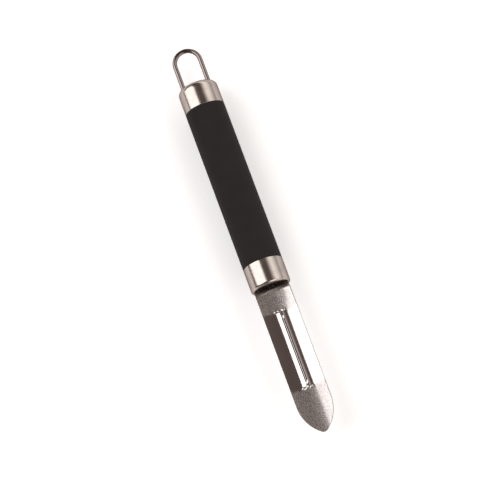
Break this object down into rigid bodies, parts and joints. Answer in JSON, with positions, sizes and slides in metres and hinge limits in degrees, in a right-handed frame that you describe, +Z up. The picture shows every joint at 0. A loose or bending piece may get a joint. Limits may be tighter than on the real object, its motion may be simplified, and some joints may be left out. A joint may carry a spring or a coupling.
{
  "type": "vegetable peeler",
  "caption": "Hand peeler with a round soft-grip handle, a wire hanging loop and a trough-shaped slotted blade that swivels about the handle's axis.",
  "frame": {"origin": "centre of the peeler's footprint as it lies on a table, on the table's surface", "axes": "+Y along the handle's axis towards the hanging loop, the blade pointing to -Y; +Z up, out of the blade's hollow side"},
  "size_m": [0.02, 0.2078, 0.02],
  "materials": {
    "polished_steel": "polished stainless wire",
    "satin_steel": "satin",
    "blade_steel": "polished, with fine scratches",
    "pivot_steel": "plain turned",
    "tube_metal": "plain drawn",
    "moulded_plug": "moulded nylon",
    "grip_rubber": "fine matte moulded surface"
  },
  "bodies": {
    "handle": {"hanging_loop": "polished_steel", "end_cap": "satin_steel", "rear_plug": "moulded_plug", "core_tube": "tube_metal", "grip_sleeve": "grip_rubber", "front_plug": "moulded_plug", "front_ferrule": "satin_steel", "thrust_washer": "moulded_plug", "spring_washer": "pivot_steel", "backing_washer": "pivot_steel"},
    "blade": {"blade": "blade_steel", "pivot_rivet": "pivot_steel"}
  },
  "joints": [
    {"name": "blade_swivel", "type": "hinge", "parent": "handle", "child": "blade", "pos_m": [0, -0.02685, 0.01], "axis": [0, 1, 0], "range_deg": [-50, 50]}
  ]
}
